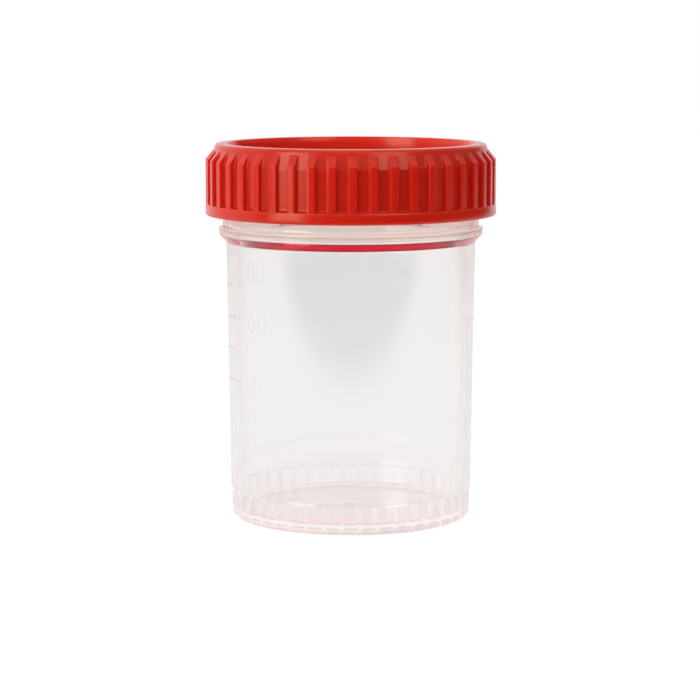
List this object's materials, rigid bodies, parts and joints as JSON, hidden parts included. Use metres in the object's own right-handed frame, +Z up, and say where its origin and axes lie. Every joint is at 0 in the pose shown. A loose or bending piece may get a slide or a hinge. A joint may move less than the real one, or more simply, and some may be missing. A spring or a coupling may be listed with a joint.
{
  "type": "screw-top specimen container",
  "caption": "Straight-sided translucent specimen cup with a fluted base, a collared threaded neck, a flat sealing ring and a ribbed red screw cap with a stacking well.",
  "frame": {"origin": "centre of the ring that the cup stands on, at the height of the table", "axes": "+Z up along the container's axis; -Y is the front seen in the picture, and +X is its right side"},
  "size_m": [0.0566, 0.0566, 0.073],
  "materials": {
    "clear_plastic": "translucent natural moulding, slightly hazy",
    "seal_foam": "soft white sheet, satin",
    "red_plastic": "glossy orange-red moulding"
  },
  "bodies": {
    "cup": {"cup": "clear_plastic"},
    "seal": {"sealing_ring": "seal_foam"},
    "cap": {"screw_cap": "red_plastic"}
  },
  "joints": [
    {"name": "cap_lift", "type": "slide", "parent": "cup", "child": "seal", "axis": [0, 0, 1], "range_m": [0, 0.009]},
    {"name": "cap_turn", "type": "hinge", "parent": "seal", "child": "cap", "pos_m": [0, 0, 0.0672], "axis": [0, 0, 1], "range_deg": [0, 900]}
  ],
  "couplings": [
    {"joint": "cap_lift", "follows": "cap_turn", "m_per_rad": 0.00057295}
  ]
}
